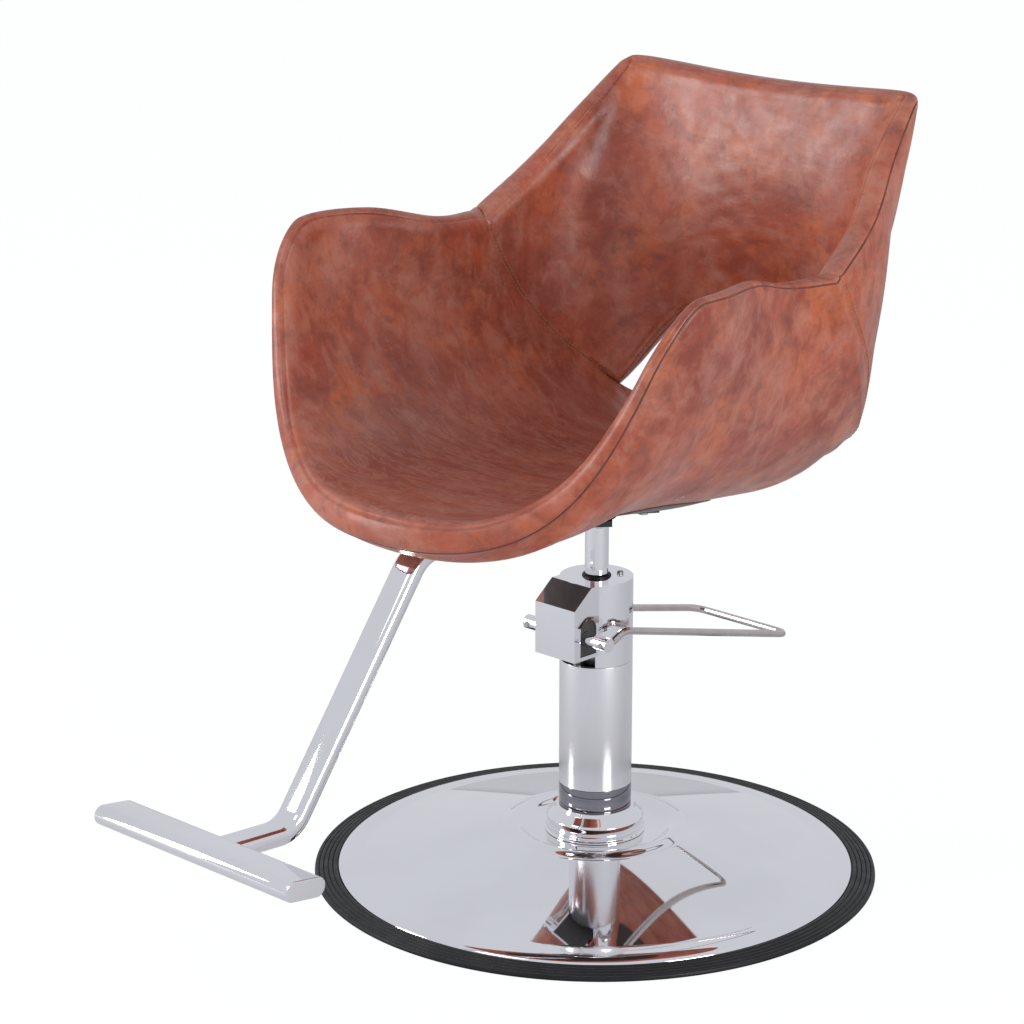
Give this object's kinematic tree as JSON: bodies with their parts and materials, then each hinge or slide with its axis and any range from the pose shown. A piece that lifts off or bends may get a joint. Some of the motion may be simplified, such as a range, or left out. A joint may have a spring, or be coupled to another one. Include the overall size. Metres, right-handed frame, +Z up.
{
  "type": "hydraulic styling chair",
  "caption": "Salon styling chair with a padded leather tub seat on a foot-pumped hydraulic column, a T-bar footrest and a round base; the seat rises and swivels.",
  "frame": {"origin": "centre of the base at floor level, on the swivel axis", "axes": "+Z up along the column, -Y the way the sitter faces, +X to the sitter's left"},
  "size_m": [0.598, 0.8618, 0.8224],
  "materials": {
    "leather": "distressed cognac leather, semi-gloss",
    "chrome": "mirror chrome",
    "satin_steel": "satin, brushed round the tube",
    "nickel": "nickel-plated wire",
    "machined_steel": "machined, oiled",
    "black_paint": "black, matt",
    "cast_iron": "as cast",
    "rubber": "ribbed, matt",
    "bronze": "machined bearing bronze",
    "moulded_shell": "moulded plywood, unfinished",
    "bottom_cloth": "dark brown dust cloth"
  },
  "bodies": {
    "base": {"base_bolt_1": "machined_steel", "base_bolt_2": "machined_steel", "base_bolt_3": "machined_steel", "base_bolt_4": "machined_steel", "base_core": "cast_iron", "base_dish": "chrome", "flange_ring": "chrome", "foot_valve": "machined_steel", "gland_bush": "bronze", "head_casting": "cast_iron", "head_cover": "chrome", "hub_mount_plate": "machined_steel", "lower_collar": "chrome", "oil_filler_screw": "machined_steel", "plunger_barrel": "machined_steel", "pressure_cylinder": "machined_steel", "pump_flange": "cast_iron", "pump_sleeve": "satin_steel", "reservoir_tube": "machined_steel", "rod_wiper": "rubber", "rubber_trim_ring": "rubber"},
    "lever": {"lever_axle": "chrome", "lever_set_screw_left": "machined_steel", "lever_set_screw_right": "machined_steel", "pedal_loop": "nickel", "rocker_cam": "machined_steel"},
    "plunger": {"plunger_spring": "machined_steel", "pump_plunger": "machined_steel"},
    "piston": {"piston_head": "machined_steel", "piston_seal_lower": "rubber", "piston_seal_upper": "rubber", "thrust_washer": "bronze"},
    "seat": {"back_padding": "leather", "bar_end_cap_left": "black_paint", "bar_end_cap_right": "black_paint", "bottom_cover": "bottom_cloth", "footrest_bar": "chrome", "footrest_bolt_front": "machined_steel", "footrest_bolt_rear": "machined_steel", "footrest_leg": "chrome", "moulded_shell": "moulded_shell", "mounting_bolt_1": "machined_steel", "mounting_bolt_2": "machined_steel", "mounting_bolt_3": "machined_steel", "mounting_bolt_4": "machined_steel", "mounting_plate": "black_paint", "outer_back_cover": "leather", "outer_tub_cover": "leather", "piston_nut": "machined_steel", "piston_rod": "chrome", "seat_padding": "leather", "threaded_insert_1": "machined_steel", "threaded_insert_2": "machined_steel", "threaded_insert_3": "machined_steel", "threaded_insert_4": "machined_steel", "threaded_insert_5": "machined_steel", "threaded_insert_6": "machined_steel"}
  },
  "joints": [
    {"name": "seat_lift", "type": "slide", "parent": "base", "child": "piston", "axis": [0, 0, 1], "range_m": [0, 0.14]},
    {"name": "seat_swivel", "type": "hinge", "parent": "piston", "child": "seat", "pos_m": [0, 0, 0], "axis": [0, 0, 1], "continuous": true},
    {"name": "pump_lever", "type": "hinge", "parent": "base", "child": "lever", "pos_m": [0, -0.043, 0.272], "axis": [1, 0, 0], "range_deg": [-15, 10]},
    {"name": "pump_plunger_slide", "type": "slide", "parent": "base", "child": "plunger", "axis": [0, 0, 1], "range_m": [-0.0045, 0.003], "deforming": ["plunger_spring"]}
  ],
  "couplings": [
    {"joint": "pump_plunger_slide", "follows": "pump_lever", "m_per_rad": 0.0162}
  ]
}
